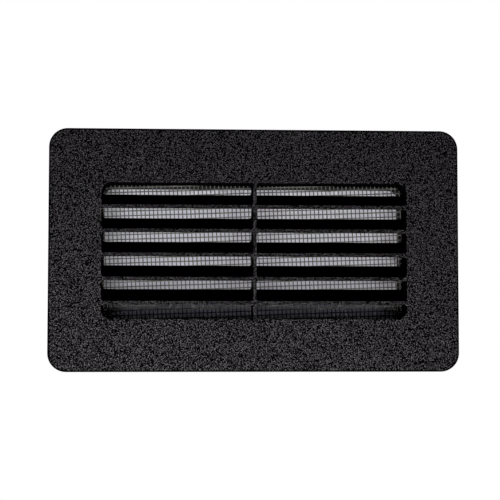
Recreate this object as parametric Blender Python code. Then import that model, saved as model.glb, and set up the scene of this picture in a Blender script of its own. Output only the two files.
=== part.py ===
"""Ventilation grille: a moulded louvre face with a rear collar, an insect screen and its retainer.

Metres, +Z up. The face looks along -Y, X is the width, and the origin is the centre of the whole part.
Depths are measured from the face's front plane towards the back.
"""
import math

import bmesh
import bpy

# Face plate: its margins run from the window to the outer edge, and the top one is a little wider
FACE_MARGIN_X = 0.0197
FACE_MARGIN_TOP = 0.0203
FACE_MARGIN_BOTTOM = 0.0197
FACE_CORNER = 0.0070
FACE_PLATE = 0.0025
FACE_EDGE_ROUND = 0.0008
LIP_DEPTH = 0.0050
LIP_WALL = 0.0020

# Louvre window
WINDOW_WIDTH = 0.1146
WINDOW_CORNER = 0.0035
BLADE_COUNT = 5
BLADE_PITCH = 0.0090
BLADE_EDGE = 0.0015
BLADE_DEPTH = 0.0110
BLADE_RISE = 0.00475
TOP_SLOT = 0.0083
BOTTOM_SLOT = 0.0052
MULLION_WIDTH = 0.00135
MULLION_DRAFT = 0.00015
SLOT_FILLET = 0.0009
SLOT_CHAMFER = 0.00025

# Louvre box, whose rear rim carries the screen, and the collar around it
BOX_WALL = 0.0016
BOX_STEP = 0.0002
SCREEN_STANDOFF = 0.0028
GROOVE = 0.0020
COLLAR_WALL = 0.0020
COLLAR_DEPTH = 0.0258
COLLAR_DRAFT = 0.0002
COLLAR_LEAD = 0.0006

# Ribs behind the plate, grip ribs on the collar and snap nubs inside it
RIB_THICK = 0.0012
RIB_CLEAR = 0.0006
LONG_SIDE_RIB_COUNT = 4
LONG_SIDE_RIB_INSET = 0.0063
SHORT_SIDE_RIB_COUNT = 2
SHORT_SIDE_RIB_INSET = 0.0135
GRIP_THICK = 0.0014
GRIP_HEIGHT = 0.0011
GRIP_TAIL = 0.0040
NUB_WIDTH = 0.0030
NUB_HEIGHT = 0.0010
NUB_LENGTH = 0.0015
NUB_RECESS = 0.0020
SINK = 0.0005

# Screen and retainer
FIT_GAP = 0.0003
SCREEN_THICK = 0.0006
SCREEN_OVERLAP = 0.0004
SCREEN_BAR = 0.0006
SCREEN_SELVEDGE = 0.0011
SCREEN_CELLS_X = 15
SCREEN_CELLS_Z = 8
RETAINER_WALL = 0.0016
RETAINER_SILL = 0.0005
RETAINER_RECESS = 0.0008
CRUSH_THICK = 0.0014

# Facets
CORNER_STEPS = 8
FILLET_STEPS = 4
EDGE_STEPS = 3
SMOOTH_ANGLE = math.radians(35.0)

# Sizes that follow from the ones above
SLOT_GAP = BLADE_PITCH - BLADE_EDGE
WINDOW_HEIGHT = TOP_SLOT + BOTTOM_SLOT + BLADE_COUNT * BLADE_EDGE + (BLADE_COUNT - 1) * SLOT_GAP
FACE_WIDTH = WINDOW_WIDTH + 2 * FACE_MARGIN_X
FACE_HEIGHT = WINDOW_HEIGHT + FACE_MARGIN_TOP + FACE_MARGIN_BOTTOM
WINDOW_CENTRE = (FACE_MARGIN_BOTTOM - FACE_MARGIN_TOP) / 2
BOX_DEPTH = BLADE_DEPTH + SCREEN_STANDOFF
COLLAR_REACH = BOX_STEP + BOX_WALL + GROOVE + COLLAR_WALL
SCREEN_FRONT = BOX_DEPTH + FIT_GAP
RETAINER_FRONT = SCREEN_FRONT + SCREEN_THICK + FIT_GAP
RETAINER_REAR = COLLAR_DEPTH - RETAINER_RECESS
NUB_FRONT = COLLAR_DEPTH - NUB_RECESS - NUB_LENGTH
CRUSH_REAR = NUB_FRONT - FIT_GAP
OVERSHOOT = 0.0010


def y_at(depth):
    """Y of a plane that lies this deep behind the face."""
    return depth - COLLAR_DEPTH / 2.0


def clear_scene():
    for item in list(bpy.data.objects):
        bpy.data.objects.remove(item, do_unlink=True)


def make_material(name, colour, roughness, metallic=0.0):
    material = bpy.data.materials.new(name)
    material.use_nodes = True
    shader = material.node_tree.nodes["Principled BSDF"]
    shader.inputs["Base Color"].default_value = (*colour, 1.0)
    shader.inputs["Roughness"].default_value = roughness
    shader.inputs["Metallic"].default_value = metallic
    return material


def body_material():
    """Charcoal plastic with a fine moulded grain."""
    return make_material("charcoal_grained_plastic", (0.030, 0.029, 0.031), 0.62)


def screen_material():
    """Coated screen wire, grey-beige."""
    return make_material("screen_wire", (0.30, 0.29, 0.26), 0.45)


def retainer_material():
    """Plain black plastic."""
    return make_material("black_plastic", (0.012, 0.012, 0.013), 0.50)


def rounded_rectangle(x0, x1, z0, z1, radii, steps):
    """Points of a rectangle with a quarter arc at each corner, anticlockwise from the lower right.

    radii are those of the lower right, upper right, upper left and lower left corners. Two neighbours that
    don't fit on their side share it.
    """
    width, height = x1 - x0, z1 - z0
    fit = min([1.0] + [
        side / (radii[i] + radii[(i + 1) % 4])
        for i, side in enumerate((height, width, height, width))
        if radii[i] + radii[(i + 1) % 4] > side
    ])
    corners = [(x1, z0, -1, 1), (x1, z1, -1, -1), (x0, z1, 1, -1), (x0, z0, 1, 1)]
    points = []
    for index, (x, z, inward_x, inward_z) in enumerate(corners):
        radius = radii[index] * fit
        start = math.radians(-90.0 + 90.0 * index)
        for step in range(steps + 1):
            angle = start + math.radians(90.0) * step / steps
            points.append((
                x + inward_x * radius + radius * math.cos(angle),
                z + inward_z * radius + radius * math.sin(angle),
            ))
    return points


def centred_loop(width, height, radius, depth, centre=0.0):
    """A rounded rectangle about the part's axis, or about a height, as (x, y, z) points at one depth."""
    outline = rounded_rectangle(-width / 2, width / 2, -height / 2, height / 2, [radius] * 4, CORNER_STEPS)
    return [(x, y_at(depth), centre + z) for x, z in outline]


def window_loop(out, depth, sill=0.0):
    """The window's outline, moved out on all sides, and its long sides back in by the sill."""
    return centred_loop(
        WINDOW_WIDTH + 2 * out, WINDOW_HEIGHT + 2 * (out - sill), WINDOW_CORNER + out, depth, WINDOW_CENTRE,
    )


def loft(mesh, loops, closed=False):
    """Bridge equal loops in order. An open loft is capped at both ends; a closed one joins last to first."""
    rings = [[mesh.verts.new(point) for point in loop] for loop in loops]
    pairs = list(zip(rings, rings[1:]))
    if closed:
        pairs.append((rings[-1], rings[0]))
    else:
        mesh.faces.new(rings[0])
        mesh.faces.new(rings[-1])
    for ring, following in pairs:
        for i in range(len(ring)):
            j = (i + 1) % len(ring)
            mesh.faces.new((ring[i], ring[j], following[j], following[i]))


def finish_mesh(name, mesh):
    """Point the faces outwards and give the mesh its object."""
    bmesh.ops.recalc_face_normals(mesh, faces=mesh.faces[:])
    data = bpy.data.meshes.new(name)
    mesh.to_mesh(data)
    mesh.free()
    item = bpy.data.objects.new(name, data)
    bpy.context.scene.collection.objects.link(item)
    return item


def shade(item, material):
    item.data.materials.append(material)
    item.data.shade_smooth()
    item.data.set_sharp_from_angle(angle=SMOOTH_ANGLE)


def combine(target, tool, operation):
    """Add the tool's bodies to the target, or take them away. The tool is only a guide."""
    tool.hide_render = True
    tool.display_type = "WIRE"
    tool.hide_set(True)
    step = target.modifiers.new(tool.name, "BOOLEAN")
    step.operation = operation
    step.solver = "EXACT"
    step.object = tool


def row(count, half, inset):
    """Evenly spaced places of a centred row that ends this far inside the window's half size."""
    reach = half - inset
    return [reach * (2.0 * i / (count - 1) - 1.0) for i in range(count)]


def between(places):
    """The middles of a row's gaps."""
    return [(a + b) / 2.0 for a, b in zip(places, places[1:])]


def long_side_row():
    return row(LONG_SIDE_RIB_COUNT, WINDOW_WIDTH / 2, LONG_SIDE_RIB_INSET)


def short_side_row():
    return row(SHORT_SIDE_RIB_COUNT, WINDOW_HEIGHT / 2, SHORT_SIDE_RIB_INSET)


def upright_wedge(mesh, side, place, width, depths, heights, base):
    """A rib on one of the four sides of a rectangle about the window's centre.

    side is (x, z), the way the rib points out; place is its position along that side; depths are its front
    and rear; heights are how far it stands out there, from base, the distance of the side from the centre.
    """
    def corner(out, along, depth):
        if side[0]:
            return (side[0] * out, y_at(depth), WINDOW_CENTRE + along)
        return (along, y_at(depth), WINDOW_CENTRE + side[1] * out)

    low, high = place - width / 2, place + width / 2
    loft(mesh, [
        [
            corner(base, along, depths[0]),
            corner(base + heights[0], along, depths[0]),
            corner(base + heights[1], along, depths[1]),
            corner(base, along, depths[1]),
        ]
        for along in (low, high)
    ])


def body_shell():
    """The moulding without its slots and ribs: one profile carried round a rounded rectangle."""
    mesh = bmesh.new()
    edge = []
    for step in range(EDGE_STEPS + 1):
        angle = math.radians(90.0) * step / EDGE_STEPS
        inset = FACE_EDGE_ROUND * (1.0 - math.sin(angle))
        edge.append((inset, FACE_EDGE_ROUND * (1.0 - math.cos(angle))))
    edge += [(0.0, LIP_DEPTH), (LIP_WALL, LIP_DEPTH), (LIP_WALL, FACE_PLATE)]
    loops = [
        centred_loop(FACE_WIDTH - 2 * inset, FACE_HEIGHT - 2 * inset, FACE_CORNER - inset, depth)
        for inset, depth in edge
    ]
    for out, depth in (
        (COLLAR_REACH, FACE_PLATE),
        (COLLAR_REACH - COLLAR_DRAFT, COLLAR_DEPTH - COLLAR_LEAD),
        (COLLAR_REACH - COLLAR_DRAFT - COLLAR_LEAD, COLLAR_DEPTH),
        (BOX_STEP + BOX_WALL + GROOVE, COLLAR_DEPTH),
        (BOX_STEP + BOX_WALL + GROOVE, FACE_PLATE),
        (BOX_STEP + BOX_WALL, FACE_PLATE),
        (BOX_STEP + BOX_WALL, BOX_DEPTH),
        (BOX_STEP, BOX_DEPTH),
        (BOX_STEP, BLADE_DEPTH),
    ):
        loops.append(window_loop(out, depth))
    loft(mesh, loops)
    return finish_mesh("grille_body", mesh)


def slot_levels():
    """Front height of each slot's floor and roof, from the lowest up."""
    floor = WINDOW_CENTRE - WINDOW_HEIGHT / 2
    levels = []
    for index in range(BLADE_COUNT + 1):
        height = SLOT_GAP
        if index == 0:
            height = BOTTOM_SLOT
        if index == BLADE_COUNT:
            height = TOP_SLOT
        levels.append((floor, floor + height))
        floor += height + BLADE_EDGE
    return levels


def slot_cutters():
    """Twelve slanted slots: six between the blades on each side of the mullion.

    Each is a loft from in front of the face to behind the blades. A floor or roof that is a blade rises
    towards the back; the window's own floor and roof run straight.
    """
    mesh = bmesh.new()
    slope = BLADE_RISE / BLADE_DEPTH
    stations = [
        (-OVERSHOOT, SLOT_CHAMFER),
        (0.0, SLOT_CHAMFER),
        (SLOT_CHAMFER, 0.0),
        (BLADE_DEPTH + OVERSHOOT, 0.0),
    ]
    levels = slot_levels()
    for side in (-1, 1):
        for index, (floor, roof) in enumerate(levels):
            is_bottom = index == 0
            is_top = index == BLADE_COUNT
            loops = []
            for depth, flare in stations:
                rise = slope * max(depth, 0.0)
                low = floor - flare + (0.0 if is_bottom else rise)
                high = roof + flare + (0.0 if is_top else rise)
                inner = MULLION_WIDTH / 2 - flare + MULLION_DRAFT * max(depth, 0.0) / BLADE_DEPTH
                outer = WINDOW_WIDTH / 2 + flare
                fillet = SLOT_FILLET + flare
                corner = WINDOW_CORNER + flare
                low_outer = corner if is_bottom else fillet
                high_outer = corner if is_top else fillet
                if side > 0:
                    radii = [low_outer, high_outer, fillet, fillet]
                    outline = rounded_rectangle(inner, outer, low, high, radii, FILLET_STEPS)
                else:
                    radii = [fillet, fillet, high_outer, low_outer]
                    outline = rounded_rectangle(-outer, -inner, low, high, radii, FILLET_STEPS)
                loops.append([(x, y_at(depth), z) for x, z in outline])
            loft(mesh, loops)
    return finish_mesh("slot_cutters", mesh)


def plate_ribs():
    """Stiffening ribs behind the face plate, from the collar to the lip."""
    mesh = bmesh.new()
    depths = (FACE_PLATE - SINK, LIP_DEPTH - RIB_CLEAR)
    across = WINDOW_WIDTH / 2 + COLLAR_REACH - COLLAR_WALL / 2
    up = WINDOW_HEIGHT / 2 + COLLAR_REACH - COLLAR_WALL / 2
    to_side = FACE_WIDTH / 2 - LIP_WALL / 2 - across
    for place in long_side_row():
        for side in ((0, -1), (0, 1)):
            to_edge = FACE_HEIGHT / 2 - LIP_WALL / 2 - up - side[1] * WINDOW_CENTRE
            upright_wedge(mesh, side, place, RIB_THICK, depths, (to_edge, to_edge), up)
    for place in short_side_row():
        for side in ((-1, 0), (1, 0)):
            upright_wedge(mesh, side, place, RIB_THICK, depths, (to_side, to_side), across)
    return finish_mesh("plate_ribs", mesh)


def grip_ribs():
    """Tapered ribs that wedge the collar in the hole in the wall."""
    mesh = bmesh.new()
    across = WINDOW_WIDTH / 2 + COLLAR_REACH - COLLAR_WALL / 2
    up = WINDOW_HEIGHT / 2 + COLLAR_REACH - COLLAR_WALL / 2
    depths = (FACE_PLATE - SINK, COLLAR_DEPTH - GRIP_TAIL)
    heights = (COLLAR_WALL / 2 + GRIP_HEIGHT, COLLAR_WALL / 2 - COLLAR_DRAFT)
    for place in between(long_side_row()):
        for side in ((0, -1), (0, 1)):
            upright_wedge(mesh, side, place, GRIP_THICK, depths, heights, up)
    for place in between(short_side_row()):
        for side in ((-1, 0), (1, 0)):
            upright_wedge(mesh, side, place, GRIP_THICK, depths, heights, across)
    return finish_mesh("grip_ribs", mesh)


def snap_nubs():
    """Wedges inside the collar, just behind the retainer's crush ribs, which they hold."""
    mesh = bmesh.new()
    up = WINDOW_HEIGHT / 2 + COLLAR_REACH - COLLAR_WALL
    for place in long_side_row():
        for side in ((0, -1), (0, 1)):
            upright_wedge(
                mesh, side, place, NUB_WIDTH, (NUB_FRONT, NUB_FRONT + NUB_LENGTH),
                (-NUB_HEIGHT - SINK, -SINK - NUB_HEIGHT / 3), up + SINK,
            )
    return finish_mesh("snap_nubs", mesh)


def make_body():
    body = body_shell()
    combine(body, slot_cutters(), "DIFFERENCE")
    combine(body, plate_ribs(), "UNION")
    combine(body, grip_ribs(), "UNION")
    combine(body, snap_nubs(), "UNION")
    shade(body, body_material())
    return body


def bar(mesh, x, z, depths):
    """A square bar between two x and two z values, heights from the window's centre."""
    corners = ((x[0], z[0]), (x[1], z[0]), (x[1], z[1]), (x[0], z[1]))
    loft(mesh, [[(across, y_at(depth), WINDOW_CENTRE + up) for across, up in corners] for depth in depths])


def screen_half(name, upright):
    """All the bars of one direction. The first and last are the wide selvedge under the retainer."""
    mesh = bmesh.new()
    half_x = WINDOW_WIDTH / 2 + BOX_STEP + BOX_WALL - SCREEN_OVERLAP
    half_z = WINDOW_HEIGHT / 2 + BOX_STEP + BOX_WALL - SCREEN_OVERLAP
    third = SCREEN_THICK / 3
    if upright:
        reach, length, cells = half_x, half_z, SCREEN_CELLS_X
        depths = (SCREEN_FRONT, SCREEN_FRONT + 2 * third)
    else:
        reach, length, cells = half_z, half_x - SCREEN_SELVEDGE / 2, SCREEN_CELLS_Z
        depths = (SCREEN_FRONT + third, SCREEN_FRONT + SCREEN_THICK)
    pitch = 2 * (reach - SCREEN_SELVEDGE) / cells
    for index in range(cells + 1):
        place = (index - cells / 2) * pitch
        low, high = place - SCREEN_BAR / 2, place + SCREEN_BAR / 2
        end = length - (SCREEN_SELVEDGE / 2 if upright else 0.0)
        if index == 0:
            low, high, end = -reach, -reach + SCREEN_SELVEDGE, length
        if index == cells:
            low, high, end = reach - SCREEN_SELVEDGE, reach, length
        if upright:
            bar(mesh, (low, high), (-end, end), depths)
        else:
            bar(mesh, (-end, end), (low, high), depths)
    return finish_mesh(name, mesh)


def make_screen():
    """A lattice of raised upright bars over level ones: a coarse form of the woven screen."""
    screen = screen_half("insect_screen", True)
    combine(screen, screen_half("screen_level_bars", False), "UNION")
    shade(screen, screen_material())
    return screen


def make_retainer():
    """A frame in line with the louvre box, with crush ribs that reach the collar.

    Its long walls are the thicker ones: they stand in by the sill at the window's top and bottom.
    """
    mesh = bmesh.new()
    inner, outer = BOX_STEP, BOX_STEP + RETAINER_WALL
    loft(mesh, [
        window_loop(inner, RETAINER_FRONT, RETAINER_SILL),
        window_loop(outer, RETAINER_FRONT),
        window_loop(outer, RETAINER_REAR),
        window_loop(inner, RETAINER_REAR, RETAINER_SILL),
    ], closed=True)
    retainer = finish_mesh("screen_retainer", mesh)
    ribs = bmesh.new()
    across = WINDOW_WIDTH / 2 + BOX_STEP + RETAINER_WALL / 2
    up = WINDOW_HEIGHT / 2 + BOX_STEP + RETAINER_WALL / 2
    reach = COLLAR_REACH - COLLAR_WALL - FIT_GAP - BOX_STEP - RETAINER_WALL / 2
    depths = (RETAINER_FRONT + SINK, CRUSH_REAR)
    for place in long_side_row():
        for side in ((0, -1), (0, 1)):
            upright_wedge(ribs, side, place, CRUSH_THICK, depths, (reach, reach), up)
    for place in short_side_row():
        for side in ((-1, 0), (1, 0)):
            upright_wedge(ribs, side, place, CRUSH_THICK, depths, (reach, reach), across)
    combine(retainer, finish_mesh("crush_ribs", ribs), "UNION")
    shade(retainer, retainer_material())
    return retainer


def main():
    clear_scene()
    make_body()
    make_screen()
    make_retainer()


main()
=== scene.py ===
# %% [markdown]
# # A moulded ventilation grille, dressed for its picture
#
# The real thing is one black plastic moulding with a sand-grained face, a piece of woven insect
# screen laid across the back of its louvres, and a plain frame that holds the screen in the collar.
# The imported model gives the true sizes. This lesson rebuilds the three visible pieces as finer
# surfaces, worked out with numpy, and gives each its finish.

# %% Load the frame
import math

import bmesh
import bpy
import numpy as np
from mathutils import Euler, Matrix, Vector
from mathutils.geometry import tessellate_polygon


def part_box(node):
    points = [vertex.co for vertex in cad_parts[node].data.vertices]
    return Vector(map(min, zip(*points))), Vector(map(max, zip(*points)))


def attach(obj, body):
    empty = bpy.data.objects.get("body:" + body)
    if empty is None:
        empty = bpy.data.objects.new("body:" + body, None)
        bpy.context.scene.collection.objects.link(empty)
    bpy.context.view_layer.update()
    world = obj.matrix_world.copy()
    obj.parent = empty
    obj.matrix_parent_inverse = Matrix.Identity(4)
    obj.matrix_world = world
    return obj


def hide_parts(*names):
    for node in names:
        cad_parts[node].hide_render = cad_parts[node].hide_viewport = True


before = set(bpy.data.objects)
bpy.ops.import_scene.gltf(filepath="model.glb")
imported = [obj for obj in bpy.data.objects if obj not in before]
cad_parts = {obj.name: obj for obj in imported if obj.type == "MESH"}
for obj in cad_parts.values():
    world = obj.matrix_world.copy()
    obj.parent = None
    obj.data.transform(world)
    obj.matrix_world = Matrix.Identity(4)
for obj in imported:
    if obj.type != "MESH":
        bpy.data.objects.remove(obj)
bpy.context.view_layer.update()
MM = 1000.0
print("nodes", sorted(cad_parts))

# %% [markdown]
# ## Sizes
#
# Everything that the frame can tell is read from it: the face, the collar's rear end and where the
# screen and its retainer lie. The sizes inside the moulding, such as the blades, are the ones that the
# model was drawn with, written once here. Depths are measured from the front plane of the face.

# %% Sizes of the moulding
face_low, face_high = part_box("grille_body")
screen_low, screen_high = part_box("insect_screen")
retainer_low, retainer_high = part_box("screen_retainer")
FRONT_Y = face_low[1]
FACE_HALF = ((face_high[0] - face_low[0]) / 2, (face_high[2] - face_low[2]) / 2)
COLLAR_DEPTH = face_high[1] - FRONT_Y
FACE_CORNER = 0.0070
FACE_PLATE = 0.0025
FACE_EDGE = 0.0008
LIP_DEPTH = 0.0050
LIP_WALL = 0.0020

WINDOW_HALF = (0.0573, 0.0255)
WINDOW_CORNER = 0.0035
WINDOW_CENTRE = -0.0003
BLADE_COUNT = 5
BLADE_EDGE = 0.0015
SLOT_GAP = 0.0075
TOP_SLOT = 0.0083
BOTTOM_SLOT = 0.0052
BLADE_DEPTH = 0.0110
BLADE_RISE = 0.00475
MULLION_HALF = 0.000675
MULLION_DRAFT = 0.00015
SLOT_FILLET = 0.0009
FRONT_ROUND = 0.00008
REAR_ROUND = 0.00012

BOX_STEP = 0.0002
BOX_WALL = 0.0016
BOX_DEPTH = 0.0138
GROOVE = 0.0020
COLLAR_WALL = 0.0020
COLLAR_DRAFT = 0.0002
COLLAR_LEAD = 0.0006
EDGE_ROUND = 0.00025
print("face half size in mm", [round(v * MM, 2) for v in FACE_HALF])

# %% [markdown]
# ## Outlines and lofts
#
# Nearly every surface of a moulding like this is a rounded rectangle that changes size as it goes back.
# So one function gives the outline at any size, and another joins a pile of equal outlines with quads.
# A profile in (offset, depth) then draws a whole wall, with a small arc at each of its corners.

# %% Outline of a rounded rectangle
CORNER_STEPS = 12
SLOT_CORNER_STEPS = 6


def rounded_outline(low, high, radii, steps):
    """Points of a rectangle with a quarter circle at each corner, anticlockwise from the lower right.

    A corner's points are its arc centre plus radius times (cos, sin) of angles that run through a
    quarter turn; low and high are the (x, z) corners of the box; radii follow the same order.
    """
    radii = np.asarray(radii, float)
    ends = np.array([(high[0], low[1]), (high[0], high[1]), (low[0], high[1]), (low[0], low[1])])
    inward = np.array([(-1, 1), (-1, -1), (1, -1), (1, 1)])
    centres = ends + inward * radii[:, None]
    turn = np.linspace(0.0, math.pi / 2, steps + 1)
    angles = np.radians([-90.0, 0.0, 90.0, 180.0])[:, None] + turn[None, :]
    arcs = np.stack([np.cos(angles), np.sin(angles)], axis=2) * radii[:, None, None]
    return (centres[:, None, :] + arcs).reshape(-1, 2)


def at_depth(outline, depth):
    """Lay a flat outline in the upright plane that is this deep behind the face's front."""
    return np.column_stack([outline[:, 0], np.full(len(outline), FRONT_Y + depth), outline[:, 1]])


def centred_ring(half, corner, offset, depth, centre=0.0):
    """The rounded rectangle about a height, moved out by offset on every side, at one depth."""
    x, z = half[0] + offset, half[1] + offset
    outline = rounded_outline((-x, centre - z), (x, centre + z), [corner + offset] * 4, CORNER_STEPS)
    return at_depth(outline, depth)


print("points on an outline", len(centred_ring(FACE_HALF, FACE_CORNER, 0.0, 0.0)))

# %% Profiles with small arcs
ARC_STEPS = 3
SIDE_SHARE = 0.45


def soften(points, radius):
    """Replace each inner corner of an open polyline by a short curve that starts and ends at radius.

    The curve is the quadratic one whose ends lie radius before and after the corner and whose middle
    control point is the corner itself; a short side limits the radius to SIDE_SHARE of its length.
    """
    points = np.asarray(points, float)
    before, here, after = points[:-2], points[1:-1], points[2:]
    to_before, to_after = before - here, after - here
    length_before = np.linalg.norm(to_before, axis=1)
    length_after = np.linalg.norm(to_after, axis=1)
    reach = np.minimum(radius, SIDE_SHARE * np.minimum(length_before, length_after))
    start = here + to_before * (reach / length_before)[:, None]
    end = here + to_after * (reach / length_after)[:, None]
    t = np.linspace(0.0, 1.0, ARC_STEPS + 1)[None, :, None]
    curve = (1 - t) ** 2 * start[:, None] + 2 * t * (1 - t) * here[:, None] + t ** 2 * end[:, None]
    return np.vstack([points[:1], curve.reshape(-1, 2), points[-1:]])


def carried(profile, half, corner, centre=0.0):
    """Carry a profile of (offset, depth) points round a rounded rectangle: one ring for each point."""
    return [centred_ring(half, corner, offset, depth, centre) for offset, depth in profile]


def quads_between(rings, count, first=0, closed=False):
    """Quads that join ring k to ring k + 1, each of count points numbered on from first."""
    rows = np.arange(rings if closed else rings - 1)
    here = rows[:, None] * count + np.arange(count)[None, :]
    beside = rows[:, None] * count + (np.arange(count)[None, :] + 1) % count
    there = here + count
    beyond = beside + count
    if closed:
        there %= rings * count
        beyond %= rings * count
    return (np.stack([here, beside, beyond, there], axis=2).reshape(-1, 4) + first).tolist()


# %% [markdown]
# ## Making a piece
#
# A piece is its numbers: points, faces, a material, and the body that it rides on. The faces' normals
# are made to agree once, on the closed mesh, and a weighted normal keeps the flats flat beside their
# rounded edges, as a moulding's highlights show.

# %% Piece helper
LOUVRE_EDGE = 0.0010
BACK_LEAN = 0.6
SHARP_ANGLE = math.radians(42.0)
FLAT_WEIGHT = 60


def mark_outside(mesh):
    """Store 1 on the faces that show from behind or from the sides, and 0 on all others.

    A face is outside if its normal's Y is more than BACK_LEAN, or if its middle lies past the window by
    LOUVRE_EDGE and behind the rounded edge of the face.
    """
    count = len(mesh.polygons)
    middle, normal = np.empty(count * 3), np.empty(count * 3)
    mesh.polygons.foreach_get("center", middle)
    mesh.polygons.foreach_get("normal", normal)
    x, y, z = middle.reshape(-1, 3).T
    past = np.maximum(np.abs(x) - WINDOW_HALF[0], np.abs(z - WINDOW_CENTRE) - WINDOW_HALF[1])
    # The face's rounded edge is left at 0, so the plastic paints it with the louvres' darker painted shade.
    around = (past > LOUVRE_EDGE) & (y - FRONT_Y > FACE_EDGE)
    behind = normal.reshape(-1, 3)[:, 1] > BACK_LEAN
    outside = mesh.attributes.new("outside", "FLOAT", "FACE")
    outside.data.foreach_set("value", (around | behind).astype(np.float32))


def make_piece(name, points, faces, material, slot, node, sharp=SHARP_ANGLE):
    """Put numpy points and a list of faces in a mesh object that stands for one node of the frame."""
    mesh = bpy.data.meshes.new(name)
    mesh.from_pydata(np.asarray(points).tolist(), [], faces)
    work = bmesh.new()
    work.from_mesh(mesh)
    bmesh.ops.recalc_face_normals(work, faces=work.faces[:])
    loose = sum(not edge.is_manifold for edge in work.edges)
    work.to_mesh(mesh)
    work.free()
    mesh.shade_smooth()
    mesh.set_sharp_from_angle(angle=sharp)
    mark_outside(mesh)
    mesh.materials.append(material)
    piece = bpy.data.objects.new(name, mesh)
    bpy.context.scene.collection.objects.link(piece)
    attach(piece, "root")
    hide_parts(node)
    size = np.ptp(np.asarray(points), axis=0) * MM
    print(name, "faces", len(mesh.polygons), "open edges", loose, "size in mm", size.round(2).tolist())
    return piece


def weighted(piece):
    """Let the large faces decide the normals at their edges."""
    step = piece.modifiers.new("flat_faces", "WEIGHTED_NORMAL")
    step.mode = "FACE_AREA_WITH_ANGLE"
    step.keep_sharp = True
    step.weight = FLAT_WEIGHT


def flat_fill(rings, ids):
    """Triangles between an outer outline and its holes, all in one upright plane.

    rings are arrays of points and ids their numbers in the mesh, in the same order. The filling works in
    millimetres, because its own smallest step is too coarse for metres.
    """
    loops = [[(p[0] * MM, p[2] * MM, 0.0) for p in ring] for ring in rings]
    numbers = np.concatenate(ids)
    return [[int(numbers[i]) for i in triangle] for triangle in tessellate_polygon(loops)]


# %% [markdown]
# ## Finishes: shared effects
#
# The face has the coarse sand grain of a spark-eroded mould: crests about half a millimetre apart that
# catch the light, with pits between them that painted shade makes near black. One node group works it
# out from the Object coordinates, so the grain stays on the part from any side. A second group fades it
# out behind the front plane. The back isn't in the picture; it is taken to be smooth.

# %% Node helpers
# A colour mix has its two colours and its result at these sockets.
MIX_LOW = 6
MIX_HIGH = 7
MIX_RESULT = 2


def new_group(name, inputs, outputs):
    """A node group that takes a vector and the named numbers, and gives the named numbers.

    It returns the group, the sockets that its nodes read from and the sockets that they feed.
    """
    group = bpy.data.node_groups.new(name, "ShaderNodeTree")
    group.interface.new_socket("Vector", in_out="INPUT", socket_type="NodeSocketVector")
    for titles, in_out in ((inputs, "INPUT"), (outputs, "OUTPUT")):
        for title in titles:
            group.interface.new_socket(title, in_out=in_out, socket_type="NodeSocketFloat")
    start = group.nodes.new("NodeGroupInput")
    end = group.nodes.new("NodeGroupOutput")
    return group, start.outputs, end.inputs


def feed(tree, item, links, **values):
    """Link a node's inputs from other sockets, and set plain values on others; _ stands for a space."""
    for key, value in values.items():
        item.inputs[key.replace("_", " ")].default_value = value
    for key, source in links.items():
        tree.links.new(source, item.inputs[key])


def add_node(tree, kind, links=None, **settings):
    """Add a node, set its properties, and feed its inputs."""
    item = tree.nodes.new(kind)
    for key in [key for key in settings if key in item.bl_rna.properties]:
        setattr(item, key, settings.pop(key))
    feed(tree, item, links or {}, **settings)
    return item


def math_node(tree, operation, a, b=None, c=None, clamp=False):
    """One arithmetic step on sockets or plain numbers."""
    item = tree.nodes.new("ShaderNodeMath")
    item.operation = operation
    item.use_clamp = clamp
    for index, value in enumerate((a, b, c)):
        if value is None:
            continue
        if isinstance(value, (int, float)):
            item.inputs[index].default_value = value
        else:
            tree.links.new(value, item.inputs[index])
    return item.outputs[0]


def ramp_colours(tree, value, low, high, places=(0.0, 1.0)):
    """The colour that a straight ramp between two colours gives for a value."""
    item = tree.nodes.new("ShaderNodeValToRGB")
    for element, place, colour in zip(item.color_ramp.elements, places, (low, high)):
        element.position = place
        element.color = colour
    tree.links.new(value, item.inputs["Fac"])
    return item.outputs["Color"]


def mix_colours(tree, factor, low, high):
    """A blend of two colours, each four plain numbers or a socket."""
    item = add_node(tree, "ShaderNodeMix", {"Factor": factor}, data_type="RGBA")
    for index, value in ((MIX_LOW, low), (MIX_HIGH, high)):
        if isinstance(value, tuple):
            item.inputs[index].default_value = value
        else:
            tree.links.new(value, item.inputs[index])
    return item.outputs[MIX_RESULT]


def mix_shaders(tree, factor, first, second):
    """The first shader where the factor is 0 and the second one where it is 1."""
    item = tree.nodes.new("ShaderNodeMixShader")
    for index, source in enumerate((factor, first, second)):
        tree.links.new(source, item.inputs[index])
    return item.outputs[0]


# %% The grain group
CREST_SCATTER = 0.8
CREST_TOP = 0.95
FINE_SCALE = 1.9
FINE_DETAIL = 1.0
FINE_HEIGHT = 0.10
MASK_MIDDLE = 0.5
GLINT_POWER = 2.0
GLINT_LEAST = 0.3
GLINT_SPREAD = 2.1


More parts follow.
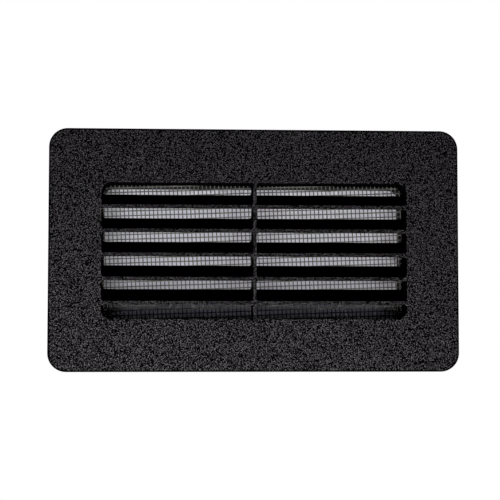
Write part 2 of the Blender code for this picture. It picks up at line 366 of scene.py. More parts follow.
def build_grain():
    """Sand grain: a crest at each of many scattered points, falling away to pits between them.

    Height is CREST_TOP less the distance to the nearest point, plus a little fine noise. Crest is the
    same height steepened to a mask that is black in the pits and white on the crests. Glint is that
    mask times a random share that each crest keeps, because crests differ in how well they face the
    light.
    """
    group, given, wanted = new_group(
        "sand_grain", ("Size", "Level", "Contrast"), ("Height", "Crest", "Glint"),
    )
    vector, size = given["Vector"], given["Size"]
    fine = add_node(group, "ShaderNodeTexNoise", {
        "Vector": vector, "Scale": math_node(group, "MULTIPLY", size, FINE_SCALE),
    }, Detail=FINE_DETAIL)
    crests = add_node(group, "ShaderNodeTexVoronoi", {
        "Vector": vector, "Scale": size,
    }, Randomness=CREST_SCATTER)
    round_tops = math_node(group, "SUBTRACT", CREST_TOP, crests.outputs["Distance"])
    height = math_node(group, "MULTIPLY_ADD", fine.outputs[0], FINE_HEIGHT, round_tops)
    centred = math_node(group, "SUBTRACT", height, given["Level"])
    steep = math_node(group, "MULTIPLY_ADD", centred, given["Contrast"], MASK_MIDDLE, clamp=True)
    chance = add_node(group, "ShaderNodeSeparateColor", {"Color": crests.outputs["Color"]})
    rare = math_node(group, "POWER", chance.outputs["Red"], GLINT_POWER)
    share = math_node(group, "MULTIPLY_ADD", rare, GLINT_SPREAD, GLINT_LEAST)
    group.links.new(height, wanted["Height"])
    group.links.new(steep, wanted["Crest"])
    group.links.new(math_node(group, "MULTIPLY", steep, share), wanted["Glint"])
    return group


GRAIN = build_grain()
print("grain group", [socket.name for socket in GRAIN.interface.items_tree])


# %% Depth mask
def build_depth_mask():
    """White on the face's front plane, black deeper than End, smooth between Start and End.

    It reads the Y of the Object coordinates, less the Y of the front plane.
    """
    group, given, wanted = new_group("front_skin", ("Front", "Start", "End"), ("Mask",))
    split = add_node(group, "ShaderNodeSeparateXYZ", {"Vector": given["Vector"]})
    depth = math_node(group, "SUBTRACT", split.outputs["Y"], given["Front"])
    fall = add_node(group, "ShaderNodeMapRange", {
        "Value": depth, "From Min": given["Start"], "From Max": given["End"],
    }, interpolation_type="SMOOTHSTEP", To_Min=1.0, To_Max=0.0)
    group.links.new(fall.outputs[0], wanted["Mask"])
    return group


FRONT_SKIN = build_depth_mask()
print("depth mask", [socket.name for socket in FRONT_SKIN.interface.items_tree])


def new_material(name):
    """A material with its node tree, its shader and the Object coordinates."""
    material = bpy.data.materials.new(name)
    material.use_nodes = True
    tree = material.node_tree
    shader = tree.nodes["Principled BSDF"]
    place = tree.nodes.new("ShaderNodeTexCoord").outputs["Object"]
    return material, tree, shader, place


def grain_at(tree, place, size, level, contrast):
    """The grain group's outputs at one size, level and contrast."""
    return add_node(
        tree, "ShaderNodeGroup", {"Vector": place},
        node_tree=GRAIN, Size=size, Level=level, Contrast=contrast,
    ).outputs


def outside_mask(tree):
    """The value that was stored on the faces: 1 outside, 0 on the front and inside the louvres."""
    return add_node(tree, "ShaderNodeAttribute", attribute_name="outside").outputs["Fac"]


# %% [markdown]
# ## The charcoal plastic
#
# Black plastic gets its grey from the light that its surface throws back, not from its pigment. So the
# colour is nearly black, and a coat gives every crest of the grain its own share of gloss. Painted shade
# makes the grain's pits near black. Inside the louvres and on the face's rounded edge the same plastic is
# matt, and painted shade makes it darker still; outside it is nearly smooth, with a soft sheen. The value
# that was stored on the faces tells the outside from the louvres.

# %% Charcoal plastic
GRAIN_SIZE = 2000.0
GRAIN_LEVEL = 0.57
GRAIN_CONTRAST = 5.4
GRAIN_BUMP = 0.00007
GRAIN_GLOSS = 0.315
SKIN_START = 0.000004
SKIN_END = 0.00003
# Painted shade: the grain's pits are coloured near black, and the crests keep the plastic's own colour.
PIT_PAINTED_SHADE = (0.0006, 0.0006, 0.0007, 1.0)
CREST_BLACK = (0.0180, 0.0150, 0.0180, 1.0)
# Painted shade: the louvres and the face's rounded edge are coloured darker than the plastic.
INNER_PAINTED_SHADE = (0.0012, 0.0012, 0.0014, 1.0)
PLAIN_BLACK = (0.0170, 0.0165, 0.0175, 1.0)
PLAIN_SHEEN = 0.25
PLAIN_GRAIN = 0.12
MATT_ROUGHNESS = 0.95
GLINT_ROUGHNESS_CHANGE = -0.45
COAT_ROUGHNESS = 0.55
COAT_IOR = 1.80


def charcoal_plastic():
    """The moulding's plastic: grained on the front plane, matt in the louvres, nearly smooth outside.

    Its colour carries painted shade: near black in the grain's pits, darker still in the louvres and on
    the face's rounded edge.
    """
    material, tree, shader, place = new_material("charcoal_grained_plastic")
    grain = grain_at(tree, place, GRAIN_SIZE, GRAIN_LEVEL, GRAIN_CONTRAST)
    # The depth mask also decides where the louvres' painted shade begins behind the front plane.
    front = add_node(
        tree, "ShaderNodeGroup", {"Vector": place},
        node_tree=FRONT_SKIN, Front=FRONT_Y, Start=SKIN_START, End=SKIN_END,
    ).outputs["Mask"]
    outside = outside_mask(tree)
    # Painted shade in the grain: the colour is near black in the pits.
    grained = ramp_colours(tree, grain["Crest"], PIT_PAINTED_SHADE, CREST_BLACK)
    # Painted shade: behind the front plane the colour turns to the louvres' darker one.
    inside = mix_colours(tree, front, INNER_PAINTED_SHADE, grained)
    glossy = math_node(tree, "MULTIPLY", grain["Glint"], front)
    sheen = math_node(tree, "MULTIPLY", outside, PLAIN_SHEEN)
    grain_depth = math_node(tree, "MULTIPLY_ADD", outside, PLAIN_GRAIN, front)
    height = math_node(tree, "MULTIPLY", grain["Height"], grain_depth)
    bump = add_node(tree, "ShaderNodeBump", {"Height": height}, Distance=GRAIN_BUMP)
    feed(tree, shader, {
        "Base Color": mix_colours(tree, outside, inside, PLAIN_BLACK),
        "Coat Weight": math_node(tree, "MULTIPLY_ADD", glossy, GRAIN_GLOSS, sheen),
        "Roughness": math_node(tree, "MULTIPLY_ADD", glossy, GLINT_ROUGHNESS_CHANGE, MATT_ROUGHNESS),
        "Normal": bump.outputs["Normal"],
    }, Specular_IOR_Level=0.0, Coat_Roughness=COAT_ROUGHNESS, Coat_IOR=COAT_IOR)
    return material


CHARCOAL = charcoal_plastic()

# %% Screen wire and plain black plastic
WIRE_SHADES = ((0.085, 0.082, 0.075, 1.0), (0.215, 0.208, 0.185, 1.0))
WIRE_SHADE_PLACES = (0.30, 0.72)
WIRE_CLOUD_SCALE = 420.0
WIRE_CLOUD_DETAIL = 3.0
WIRE_ROUGHNESS = 0.42
WIRE_BUMP = 0.00003
# Painted shade: the retainer's faces that the slots show are coloured far darker than its outside; the two
# tones follow the grain.
BLACK_GRAIN_PAINTED_SHADE = ((0.0010, 0.0010, 0.0011, 1.0), (0.0030, 0.0030, 0.0032, 1.0))
BLACK_GRAIN_SIZE = 900.0
BLACK_GRAIN_LEVEL = 0.5
BLACK_GRAIN_CONTRAST = 1.5
BLACK_ROUGHNESS = 0.80
BLACK_SPECULAR = 0.10
BLACK_BUMP = 0.00002


def screen_wire():
    """Coated wire: grey-beige, with slow changes of shade along it."""
    material, tree, shader, place = new_material("screen_wire")
    cloud = add_node(
        tree, "ShaderNodeTexNoise", {"Vector": place}, Scale=WIRE_CLOUD_SCALE, Detail=WIRE_CLOUD_DETAIL,
    ).outputs[0]
    bump = add_node(tree, "ShaderNodeBump", {"Height": cloud}, Distance=WIRE_BUMP)
    feed(tree, shader, {
        "Base Color": ramp_colours(tree, cloud, *WIRE_SHADES, WIRE_SHADE_PLACES),
        "Normal": bump.outputs["Normal"],
    }, Roughness=WIRE_ROUGHNESS)
    return material


def black_plastic():
    """Plain moulded black: the grain group again, coarse and shallow.

    Painted shade makes it far darker where the slots show it than outside.
    """
    material, tree, shader, place = new_material("black_plastic")
    grain = grain_at(tree, place, BLACK_GRAIN_SIZE, BLACK_GRAIN_LEVEL, BLACK_GRAIN_CONTRAST)
    # Painted shade: the faces that show through the slots take these darker colours.
    inside = ramp_colours(tree, grain["Crest"], *BLACK_GRAIN_PAINTED_SHADE)
    bump = add_node(tree, "ShaderNodeBump", {"Height": grain["Height"]}, Distance=BLACK_BUMP)
    feed(tree, shader, {
        "Base Color": mix_colours(tree, outside_mask(tree), inside, PLAIN_BLACK),
        "Normal": bump.outputs["Normal"],
    }, Roughness=BLACK_ROUGHNESS, Specular_IOR_Level=BLACK_SPECULAR)
    return material


WIRE = screen_wire()
BLACK = black_plastic()
print("materials", [material.name for material in (CHARCOAL, WIRE, BLACK)])

# %% [markdown]
# ## The moulding
#
# The grille's body is built as its mould is cut: a profile runs from the front plane round the edge, over
# the lip, behind the plate, over the collar and down into the louvre box. Twelve slanted slots then
# join the front plane to the rear of the louvres. Each slot is a loft of rounded rectangles whose
# floor and roof rise towards the back wherever they are a blade.

# %% Profile of the shell
EDGE_STEPS = 6
LIP_FOOT = 0.003
COLLAR_FOOT = 0.002
COLLAR_INNER = BOX_STEP + BOX_WALL + GROOVE
COLLAR_REACH = COLLAR_INNER + COLLAR_WALL


def shell_rings():
    """All rings of the shell, from the front plane's edge to the edge of the louvres' rear plane.

    The back of the plate is one flat strip between the lip's foot and the collar's.
    """
    turn = np.radians(np.linspace(0.0, 90.0, EDGE_STEPS + 1))
    edge = np.column_stack([-FACE_EDGE * (1 - np.sin(turn)), FACE_EDGE * (1 - np.cos(turn))])
    lip = soften([
        edge[-1], (0.0, LIP_DEPTH), (-LIP_WALL, LIP_DEPTH), (-LIP_WALL, FACE_PLATE),
        (-LIP_WALL - LIP_FOOT, FACE_PLATE),
    ], EDGE_ROUND)
    collar = soften([
        (COLLAR_REACH + COLLAR_FOOT, FACE_PLATE),
        (COLLAR_REACH, FACE_PLATE),
        (COLLAR_REACH - COLLAR_DRAFT, COLLAR_DEPTH - COLLAR_LEAD),
        (COLLAR_REACH - COLLAR_DRAFT - COLLAR_LEAD, COLLAR_DEPTH),
        (COLLAR_INNER, COLLAR_DEPTH),
        (COLLAR_INNER, FACE_PLATE),
        (BOX_STEP + BOX_WALL, FACE_PLATE),
        (BOX_STEP + BOX_WALL, BOX_DEPTH),
        (BOX_STEP, BOX_DEPTH),
        (BOX_STEP, BLADE_DEPTH),
    ], EDGE_ROUND)
    return (
        carried(edge[:-1], FACE_HALF, FACE_CORNER)
        + carried(lip, FACE_HALF, FACE_CORNER)
        + carried(collar, WINDOW_HALF, WINDOW_CORNER, WINDOW_CENTRE)
    )


SHELL = shell_rings()
print("shell rings", len(SHELL))

# %% Slots
ROUND_STEPS = 4
WALL_STEPS = 3


def slot_stations():
    """(depth, flare) of a slot's rings: a rounded front edge, a straight wall and a small rear round."""
    turn = np.radians(np.linspace(0.0, 90.0, ROUND_STEPS + 1))
    front = np.column_stack([FRONT_ROUND * (1 - np.cos(turn)), FRONT_ROUND * (1 - np.sin(turn))])
    rear = np.column_stack([
        BLADE_DEPTH - REAR_ROUND * (1 - np.cos(turn[::-1])), REAR_ROUND * (1 - np.sin(turn[::-1])),
    ])
    wall_depths = np.linspace(FRONT_ROUND, BLADE_DEPTH - REAR_ROUND, WALL_STEPS + 2)[1:-1]
    wall = np.column_stack([wall_depths, np.zeros(WALL_STEPS)])
    return np.vstack([front, wall, rear])


def slot_rings(side, floor, roof, is_bottom, is_top):
    """Rings of one slot from its floor's and roof's front heights; side is -1 left or 1 right."""
    rings = []
    slope = BLADE_RISE / BLADE_DEPTH
    for depth, flare in slot_stations():
        rise = slope * depth
        low = floor - flare + (0.0 if is_bottom else rise)
        high = roof + flare + (0.0 if is_top else rise)
        inner = MULLION_HALF - flare + MULLION_DRAFT * depth / BLADE_DEPTH
        outer = WINDOW_HALF[0] + flare
        fillet, corner = SLOT_FILLET + flare, WINDOW_CORNER + flare
        low_outer = corner if is_bottom else fillet
        high_outer = corner if is_top else fillet
        if side > 0:
            box = ((inner, low), (outer, high), [low_outer, high_outer, fillet, fillet])
        else:
            box = ((-outer, low), (-inner, high), [fillet, fillet, high_outer, low_outer])
        rings.append(at_depth(rounded_outline(*box, SLOT_CORNER_STEPS), depth))
    return rings


def all_slots():
    """The twelve slots, from the bottom pair up."""
    heights = [BOTTOM_SLOT] + [SLOT_GAP] * (BLADE_COUNT - 1) + [TOP_SLOT]
    floors = WINDOW_CENTRE - WINDOW_HALF[1] + np.cumsum([0.0] + [h + BLADE_EDGE for h in heights[:-1]])
    return [
        slot_rings(side, floor, floor + height, index == 0, index == BLADE_COUNT)
        for side in (-1, 1)
        for index, (floor, height) in enumerate(zip(floors, heights))
    ]


SLOTS = all_slots()
print("slots", len(SLOTS), "rings in each", len(SLOTS[0]))

# %% [markdown]
# ## Ribs
#
# Behind the plate, short stiffening ribs tie the collar to the lip, tapered grip ribs wedge the collar
# in its hole, and small nubs inside the collar hold the retainer. Each is a wedge that is sunk a little
# in the wall that carries it, as a separate closed shell of the same moulding.

# %% Wedges
RIB_SINK = 0.0005
RIB_WIDTH = 0.0012
RIB_SETBACK = 0.0006
GRIP_WIDTH = 0.0014
GRIP_HEIGHT = 0.0011
GRIP_SETBACK = 0.0040
NUB_WIDTH = 0.0030
NUB_HEIGHT = 0.0010
NUB_LENGTH = 0.0015
NUB_SETBACK = 0.0035
LONG_COUNT = 4
LONG_INSET = 0.0063
SHORT_COUNT = 2
SHORT_INSET = 0.0135
LONG_ROW = np.linspace(-1.0, 1.0, LONG_COUNT) * (WINDOW_HALF[0] - LONG_INSET)
SHORT_ROW = np.linspace(-1.0, 1.0, SHORT_COUNT) * (WINDOW_HALF[1] - SHORT_INSET)


def wedge(side, place, width, depths, heights, base):
    """Eight corners of a rib that stands out from base on one side of the axis, and its six faces.

    heights are its reach past base at the front and rear depths; width is measured along the side.
    """
    out = np.array([base, base + heights[0], base + heights[1], base])
    deep = FRONT_Y + np.array([depths[0], depths[0], depths[1], depths[1]])
    rows = []
    for along in (place - width / 2, place + width / 2):
        run = np.full(4, along)
        x, z = (side[0] * out, run) if side[0] else (run, side[1] * out)
        rows.append(np.column_stack([x, deep, WINDOW_CENTRE + z]))
    faces = [[0, 1, 2, 3], [4, 5, 6, 7], [0, 1, 5, 4], [1, 2, 6, 5], [2, 3, 7, 6], [3, 0, 4, 7]]
    return np.vstack(rows), faces


def wedges_on_sides(long_places, short_places, width, depths, heights_up, heights_side, bases):
    """The same wedge along the two long and the two short sides."""
    made = [wedge((0, s), p, width, depths, heights_up, bases[1]) for p in long_places for s in (-1, 1)]
    made += [wedge((s, 0), p, width, depths, heights_side, bases[0]) for p in short_places for s in (-1, 1)]
    return made


def body_wedges():
    """Stiffening ribs behind the plate, grip ribs on the collar and nubs inside it."""
    mid = COLLAR_REACH - COLLAR_WALL / 2
    bases = (WINDOW_HALF[0] + mid, WINDOW_HALF[1] + mid)
    to_side = FACE_HALF[0] - LIP_WALL / 2 - bases[0]
    to_top = FACE_HALF[1] - LIP_WALL / 2 - bases[1] + WINDOW_CENTRE
    root_depth = FACE_PLATE - RIB_SINK
    ribs = wedges_on_sides(
        LONG_ROW, SHORT_ROW, RIB_WIDTH, (root_depth, LIP_DEPTH - RIB_SETBACK),
        (to_top, to_top), (to_side, to_side), bases,
    )
    grip = (COLLAR_WALL / 2 + GRIP_HEIGHT, COLLAR_WALL / 2 - COLLAR_DRAFT)
    grips = wedges_on_sides(
        (LONG_ROW[1:] + LONG_ROW[:-1]) / 2, [0.0], GRIP_WIDTH,
        (root_depth, COLLAR_DEPTH - GRIP_SETBACK), grip, grip, bases,
    )
    nub_depth = COLLAR_DEPTH - NUB_SETBACK
    nub = (-NUB_HEIGHT - RIB_SINK, -RIB_SINK - NUB_HEIGHT / 3)
    nub_bases = (WINDOW_HALF[0] + COLLAR_INNER + RIB_SINK, WINDOW_HALF[1] + COLLAR_INNER + RIB_SINK)
    nubs = wedges_on_sides(
        LONG_ROW, [], NUB_WIDTH, (nub_depth, nub_depth + NUB_LENGTH), nub, nub, nub_bases,
    )
    print("ribs", len(ribs), "grip ribs", len(grips), "nubs", len(nubs))
    return ribs + grips + nubs


# %% Join the moulding
def append_parts(points, faces, extra):
    """Add separate closed shells, such as ribs, to the points and faces of a piece."""
    for more_points, more_faces in extra:
        first = sum(len(block) for block in points)
        points.append(more_points)
        faces += [[first + i for i in face] for face in more_faces]


def build_body():
    """Shell, slots and the two flat planes share their rings, so the moulding is one closed skin."""
    count = len(SHELL[0])
    points = [np.vstack(SHELL)]
    faces = quads_between(len(SHELL), count)
    front = [SHELL[0]]
    rear = [SHELL[-1]]
    front_ids = [np.arange(count)]
    rear_ids = [np.arange(count) + (len(SHELL) - 1) * count]
    for rings in SLOTS:
        first = sum(len(block) for block in points)
        size = len(rings[0])
        points.append(np.vstack(rings))
        faces += quads_between(len(rings), size, first)
        front.append(rings[0])
        rear.append(rings[-1])
        front_ids.append(np.arange(size) + first)
        rear_ids.append(np.arange(size) + first + (len(rings) - 1) * size)
    faces += flat_fill(front, front_ids)
    faces += flat_fill(rear, rear_ids)
    append_parts(points, faces, body_wedges())
    return np.vstack(points), faces


body = make_piece("grille_moulding", *build_body(), CHARCOAL, "grained_plastic", "grille_body")
weighted(body)

# %% [markdown]
# ## The insect screen
#
# Insect screen is a plain weave: sixteen wires to the inch across and fourteen up, each passing over
# one and under the next. This one's weave stands about two degrees askew of the frame. Every wire is a
# flattened tube round a centre line that is all but straight in the weave's own plane and swings as a
# cosine from front to back. Where an upright and a level wire cross they cut into each other, by up to
# about 0.07 mm. The wires are drawn wider than real ones, because the picture's sharpening makes them
# look so. The upright ones' pitch is stretched by less than two parts in a thousand.

# %% Weave sizes
INCH = 0.0254
WARP_STRETCH = 1.0017
WARP_PITCH = WARP_STRETCH * INCH / 16
WEFT_PITCH = INCH / 14
WIRE_RADIUS = 0.00015
WIRE_HALF_WIDTH = 0.00022
WARP_LEAN = math.radians(2.6)
WEFT_LEAN = math.radians(2.1)
WARP_SHIFT = 0.45
WEFT_SHIFT = -0.30
RIPPLE = 0.00006
RIPPLE_LENGTH = 0.058
RIPPLE_PHASE = 30.0
SPARE_WIRES = 2
LEAST_CROSSINGS = 2
SAMPLES_PER_PITCH = 3
WIRE_SIDES = 5
WIRE_SHARP_ANGLE = math.radians(80.0)
screen_half = ((screen_high[0] - screen_low[0]) / 2, (screen_high[2] - screen_low[2]) / 2)
screen_mid = (screen_low[1] + screen_high[1]) / 2
print("wires across", round(2 * screen_half[0] / WARP_PITCH), "up", round(2 * screen_half[1] / WEFT_PITCH))


# %% Wires
def clipped_lines(direction, normal, offsets, half):
    """Start and end, along direction, of each line normal * offset inside the box of half sizes.

    Along each axis the line is inside between (-half - start) / step and (half - start) / step; the
    common part of both axes is the stretch that is kept.
    """
    start = offsets[:, None] * normal[None, :]
    bounds = np.stack([(-half - start) / direction, (half - start) / direction], axis=2)
    low = bounds.min(axis=2).max(axis=1)
    high = bounds.max(axis=2).min(axis=1)
    return low, high


def wire_family(pitch, other_pitch, lean, shift, other_shift, upright, half):
    """Centre lines of one family, as an array of wires by samples by (x, y, z).

    Along a wire, y swings as the wire's radius times cos(pi * distance / other pitch), and the sign turns
    from one wire to the next. The weft also ripples a little up and down, as a sine of the distance
    whose phase moves on by RIPPLE_PHASE radians a metre from wire to wire.
    """
    if upright:
        direction = np.array([-math.sin(lean), math.cos(lean)])
        normal = np.array([math.cos(lean), math.sin(lean)])
    else:
        direction = np.array([math.cos(lean), math.sin(lean)])
        normal = np.array([-math.sin(lean), math.cos(lean)])
    reach = int(np.dot(np.abs(normal), half) / pitch) + SPARE_WIRES
    order = np.arange(-reach, reach + 1)
    offsets = (order + shift) * pitch
    low, high = clipped_lines(direction, normal, offsets, half)
    kept = high - low > LEAST_CROSSINGS * other_pitch
    order, offsets, low, high = order[kept], offsets[kept], low[kept], high[kept]
    samples = int((high - low).max() / other_pitch * SAMPLES_PER_PITCH) + 1
    t = np.linspace(0.0, 1.0, samples)[None, :]
    along = low[:, None] + (high - low)[:, None] * t
    ripple = RIPPLE * np.sin(along * 2 * math.pi / RIPPLE_LENGTH + offsets[:, None] * RIPPLE_PHASE)
    across = offsets[:, None] + (0.0 if upright else ripple)
    x = along * direction[0] + across * normal[0]
    z = along * direction[1] + across * normal[1]
    sign = np.where(order % 2 == 0, 1.0, -1.0)[:, None] * (1.0 if upright else -1.0)
    swing = sign * np.cos(math.pi * (along / other_pitch - other_shift))
    y = screen_mid + WIRE_RADIUS * swing
    return np.stack([x, y, z + WINDOW_CENTRE], axis=2)


def tubes(lines, upright):
    """A closed oval tube round each centre line: half width times cos across, radius times sin in depth."""
    sides = WIRE_SIDES
    angle = np.arange(sides) * 2 * math.pi / sides
    ring = np.zeros((sides, 3))
    ring[:, 0 if upright else 2] = WIRE_HALF_WIDTH * np.cos(angle)
    ring[:, 1] = WIRE_RADIUS * np.sin(angle)
    points = lines[:, :, None, :] + ring[None, None, :, :]
    wires, samples = lines.shape[:2]
    one = np.array(quads_between(samples, sides))
    firsts = np.arange(wires) * samples * sides
    quads = (one[None] + firsts[:, None, None]).reshape(-1, 4).tolist()
    caps = np.stack([np.arange(sides), np.arange(sides) + (samples - 1) * sides])
    ends = (caps[None] + firsts[:, None, None]).reshape(-1, sides).tolist()
    return points.reshape(-1, 3), quads + ends


def build_screen():
    """The upright wires and then the level ones, as the points and faces of one piece."""
    half = np.array(screen_half)
    warp = wire_family(WARP_PITCH, WEFT_PITCH, WARP_LEAN, WARP_SHIFT, WEFT_SHIFT, True, half)
    weft = wire_family(WEFT_PITCH, WARP_PITCH, WEFT_LEAN, WEFT_SHIFT, WARP_SHIFT, False, half)
    warp_points, warp_faces = tubes(warp, True)
    weft_points, weft_faces = tubes(weft, False)
    points, faces = [warp_points], warp_faces
    append_parts(points, faces, [(weft_points, weft_faces)])
    print("warp wires", len(warp), "weft wires", len(weft))
    return np.vstack(points), faces


make_piece(
    "woven_screen", *build_screen(), WIRE, "screen_wire", "insect_screen", sharp=WIRE_SHARP_ANGLE,
)

# %% [markdown]
# ## The retainer
#
# A plain frame presses the screen on the louvre box. Its crush ribs are drawn a fit's gap short of the
# collar. Its long walls are a little thicker than its short ones, so its opening is slightly lower than
# the window.

# %% Retainer
RETAINER_FRONT = retainer_low[1] - FRONT_Y
RETAINER_REAR = retainer_high[1] - FRONT_Y
RETAINER_SILL = 0.00035
RETAINER_WALL = 0.0016
SEAM_STEP = 0.0005
CRUSH_WIDTH = 0.0014
FIT_GAP = 0.0003


def build_retainer():
    """A closed profile carried round the window, whose inner offsets are less on the long sides."""
    outer, inner = BOX_STEP + RETAINER_WALL, BOX_STEP
    middle = (RETAINER_FRONT + RETAINER_REAR) / 2
    profile = soften([
        (inner, middle), (inner, RETAINER_FRONT), (outer, RETAINER_FRONT),
        (outer, RETAINER_REAR), (inner, RETAINER_REAR), (inner, middle + SEAM_STEP),
    ], EDGE_ROUND)
    share = (outer - profile[:, 0]) / (outer - inner)
    rings = []
    for (offset, depth), part in zip(profile, share):
        half = (WINDOW_HALF[0], WINDOW_HALF[1] - RETAINER_SILL * part)
        rings.append(centred_ring(half, WINDOW_CORNER, offset, depth, WINDOW_CENTRE))
    points = [np.vstack(rings)]
    faces = quads_between(len(rings), len(rings[0]), closed=True)
    mid = BOX_STEP + RETAINER_WALL / 2
    reach = COLLAR_INNER - FIT_GAP - mid
    bases = (WINDOW_HALF[0] + mid, WINDOW_HALF[1] + mid)
    depths = (RETAINER_FRONT + RIB_SINK, COLLAR_DEPTH - NUB_SETBACK - FIT_GAP)
    ribs = wedges_on_sides(
        LONG_ROW, SHORT_ROW, CRUSH_WIDTH, depths, (reach, reach), (reach, reach), bases,
    )
    append_parts(points, faces, ribs)
    return np.vstack(points), faces


retainer = make_piece("retainer_frame", *build_retainer(), BLACK, "black_plastic", "screen_retainer")
weighted(retainer)

# %% [markdown]
# ## Floor, card and light
#
# The picture is of the grille on white, lit softly from below by lamps at four heights. What shows
# through the slots is a white card at the collar's rear end, lit by what comes through the louvres, so
# its lowest part falls into shadow. Its colour is also painted greyer lower down, as painted shade, and
# it has a faint painted glow that no lamp gives. The card and the floor have only a front: from behind
# and from below they show nothing. Two lamps behind the face light the back and the sides alone.

# %% Stage
WHITE = (1.0, 1.0, 1.0, 1.0)
NO_GLOW = (0.0, 0.0, 0.0, 1.0)
CARD_INSET = 0.0004
CARD_LAP = 0.0005
CARD_BLEED = 0.0020
CARD_ROUGHNESS = 0.9
# Painted shade: the card is coloured greyer towards its lower part.
CARD_PAINTED_SHADE_WHITE = (0.76, 0.76, 0.825, 1.0)
CARD_HIGH_WHITE = (0.94, 0.94, 1.0, 1.0)
CARD_PAINTED_SHADE_RISE = (-0.0160, 0.0260)
# Painted light: a faint glow that no lamp gives, over all the card but its lower edge and its ends.
CARD_PAINTED_GLOW = (0.0210, 0.0205, 0.0270, 1.0)
PAINTED_GLOW_RISE = (-0.0256, -0.0232)
PAINTED_GLOW_ENDS = (0.0540, 0.0485)
FLOOR_DROP = 0.30
FLOOR_HALF = 4.0
FLOOR_GREY = (0.80, 0.80, 0.80, 1.0)
FLOOR_ROUGHNESS = 0.8


def stage_plane(name, corners, material):
    """One flat face of the stage, which isn't a part of the object."""
    mesh = bpy.data.meshes.new(name)
    mesh.from_pydata(corners, [], [list(range(len(corners)))])
    mesh.materials.append(material)
    item = bpy.data.objects.new(name, mesh)
    bpy.context.scene.collection.objects.link(item)


def fade(tree, value, dark, full):
    """0 where the value is at dark or beyond, 1 where it is at full or beyond, straight between them."""
    return add_node(tree, "ShaderNodeMapRange", {"Value": value}, From_Min=dark, From_Max=full).outputs[0]


def either_ray(tree, first, second):
    """1 to rays of either named kind and 0 to all others."""
    path = tree.nodes.new("ShaderNodeLightPath")
    return math_node(tree, "MAXIMUM", path.outputs[first], path.outputs[second])


def only_front(tree, surface, hidden=0.0):
    """Show the surface from in front, and nothing from behind or wherever hidden is 1."""
    behind = tree.nodes.new("ShaderNodeNewGeometry").outputs["Backfacing"]
    clear = tree.nodes.new("ShaderNodeBsdfTransparent").outputs[0]
    shown = mix_shaders(tree, math_node(tree, "MAXIMUM", behind, hidden), surface, clear)
    tree.links.new(shown, tree.nodes["Material Output"].inputs["Surface"])


def card_material():
    """White foam card to the camera from in front, in which light bleeds two millimetres sideways.

    It stops light from behind, and its bounce light is left out, as the blades show none. Its colour is
    painted a little greyer lower down, as painted shade. It also has a faint painted glow that no lamp
    gives, which fades towards its lower edge and its ends.
    """
    material, tree, shader, place = new_material("white_card")
    split = add_node(tree, "ShaderNodeSeparateXYZ", {"Vector": place})
    along = math_node(tree, "ABSOLUTE", split.outputs["X"])
    height = split.outputs["Z"]
    # Painted shade: the card's white turns greyer lower down.
    shade = fade(tree, height, *CARD_PAINTED_SHADE_RISE)
    # Painted light: the glow is everywhere but at the card's lower edge and its ends.
    glow = math_node(tree, "MULTIPLY", fade(tree, height, *PAINTED_GLOW_RISE), fade(tree, along, *PAINTED_GLOW_ENDS))
    shader.subsurface_method = "BURLEY"
    feed(
        tree, shader, {
            "Base Color": mix_colours(tree, shade, CARD_PAINTED_SHADE_WHITE, CARD_HIGH_WHITE),
            "Emission Color": mix_colours(tree, glow, NO_GLOW, CARD_PAINTED_GLOW),
        },
        Emission_Strength=1.0, Roughness=CARD_ROUGHNESS, Specular_IOR_Level=0.0,
        Subsurface_Weight=1.0, Subsurface_Radius=(1.0, 1.0, 1.0), Subsurface_Scale=CARD_BLEED,
    )
    stopped = either_ray(tree, "Is Camera Ray", "Is Shadow Ray")
    only_front(tree, shader.outputs[0], math_node(tree, "SUBTRACT", 1.0, stopped))
    return material


def floor_material():
    """A pale floor that is white to the camera and through glass from above, and clear from below."""
    material, tree, shader, _ = new_material("pale_floor")
    feed(tree, shader, {}, Base_Color=FLOOR_GREY, Roughness=FLOOR_ROUGHNESS)
    seen = either_ray(tree, "Is Camera Ray", "Is Transmission Ray")
    white = tree.nodes.new("ShaderNodeEmission").outputs[0]
    only_front(tree, mix_shaders(tree, seen, shader.outputs[0], white))
    return material


card_depth = COLLAR_DEPTH - CARD_INSET
card_ring = centred_ring(WINDOW_HALF, WINDOW_CORNER, COLLAR_INNER + CARD_LAP, card_depth, WINDOW_CENTRE)
stage_plane("white_card", card_ring.tolist(), card_material())
floor_z = face_low[2] - FLOOR_DROP
stage_plane("pale_floor", [
    (-FLOOR_HALF, -FLOOR_HALF, floor_z), (FLOOR_HALF, -FLOOR_HALF, floor_z),
    (FLOOR_HALF, FLOOR_HALF, floor_z), (-FLOOR_HALF, FLOOR_HALF, floor_z),
], floor_material())
print("card behind the face in mm", round(card_depth * MM, 2))

# %% World and lamps
WORLD_STRENGTH = 0.01
# Each lamp: its name, azimuth and elevation in degrees, distance, (width, height) in metres, watts.
LAMPS = (
    ("lamp_lower_left", -18.0, -18.5, 0.60, (0.22, 0.09), 1.47),
    ("lamp_lower_right", 12.0, -21.0, 0.60, (0.22, 0.09), 1.00),
    ("lamp_from_below", -1.0, -31.0, 0.60, (0.54, 0.10), 2.40),
    ("lamp_far_below", -11.0, -37.0, 0.38, (0.20, 0.04), 0.53),
    ("lamp_behind_right", 140.0, 50.0, 0.80, (0.40, 0.40), 12.0),
    ("lamp_behind_left", -135.0, 15.0, 0.80, (0.40, 0.40), 5.0),
)


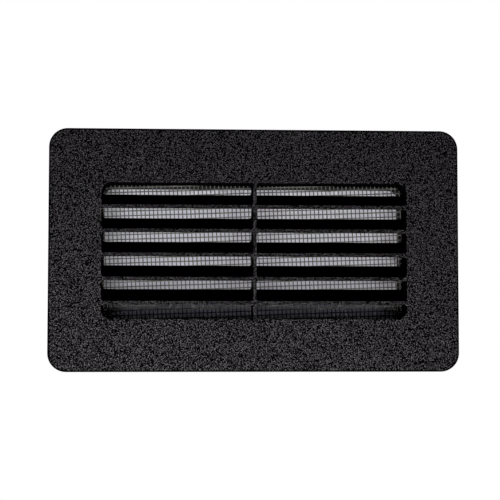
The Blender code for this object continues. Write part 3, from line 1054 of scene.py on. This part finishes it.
def set_world(strength):
    """Dim even light that is seen as white by the camera and through glass."""
    world = bpy.data.worlds.new("white_room")
    bpy.context.scene.world = world
    world.use_nodes = True
    tree = world.node_tree
    dim = tree.nodes["Background"]
    bright = tree.nodes.new("ShaderNodeBackground")
    feed(tree, dim, {}, Color=WHITE, Strength=strength)
    feed(tree, bright, {}, Color=WHITE)
    seen = either_ray(tree, "Is Camera Ray", "Is Transmission Ray")
    light = mix_shaders(tree, seen, dim.outputs[0], bright.outputs[0])
    tree.links.new(light, tree.nodes["World Output"].inputs["Surface"])


def soft_lamp(name, azimuth, elevation, distance, size, watts):
    """An area lamp, size (width, height), that looks at the part's centre. Azimuth 0 is in front, at -Y."""
    a, e = math.radians(azimuth), math.radians(elevation)
    place = np.array([math.sin(a) * math.cos(e), -math.cos(a) * math.cos(e), math.sin(e)]) * distance
    lamp = bpy.data.lights.new(name, "AREA")
    lamp.shape = "RECTANGLE"
    lamp.size, lamp.size_y = size
    lamp.energy = watts
    item = bpy.data.objects.new(name, lamp)
    item.location = place.tolist()
    item.rotation_euler = Euler((math.radians(90.0 - elevation), 0.0, a), "XYZ")
    bpy.context.scene.collection.objects.link(item)


set_world(WORLD_STRENGTH)
for row in LAMPS:
    soft_lamp(*row)
print("lamps", len(LAMPS))

# %% [markdown]
# ## Camera
#
# The picture was taken from about half a metre, a little to the left of the axis and a little below it,
# with a short telephoto. These values come from a fit of the part's corners to the picture; the turn is
# in degrees and the lens in millimetres.

# %% Camera
CAMERA_PLACE = (-0.02993, -0.52198, -0.02963)
CAMERA_TURN = (93.3255, -0.033, -3.1585)
LENS = 98.24
SENSOR_WIDTH = 36.0
NEAREST = 0.01

camera_data = bpy.data.cameras.new("camera")
camera_data.lens = LENS
camera_data.sensor_width = SENSOR_WIDTH
camera_data.clip_start = NEAREST
camera = bpy.data.objects.new("camera", camera_data)
camera.location = CAMERA_PLACE
camera.rotation_euler = Euler([math.radians(v) for v in CAMERA_TURN], "XYZ")
bpy.context.scene.collection.objects.link(camera)
bpy.context.scene.camera = camera
bpy.context.scene.view_settings.view_transform = "Standard"
print("camera at mm", [round(v * MM, 1) for v in CAMERA_PLACE], "lens", LENS)
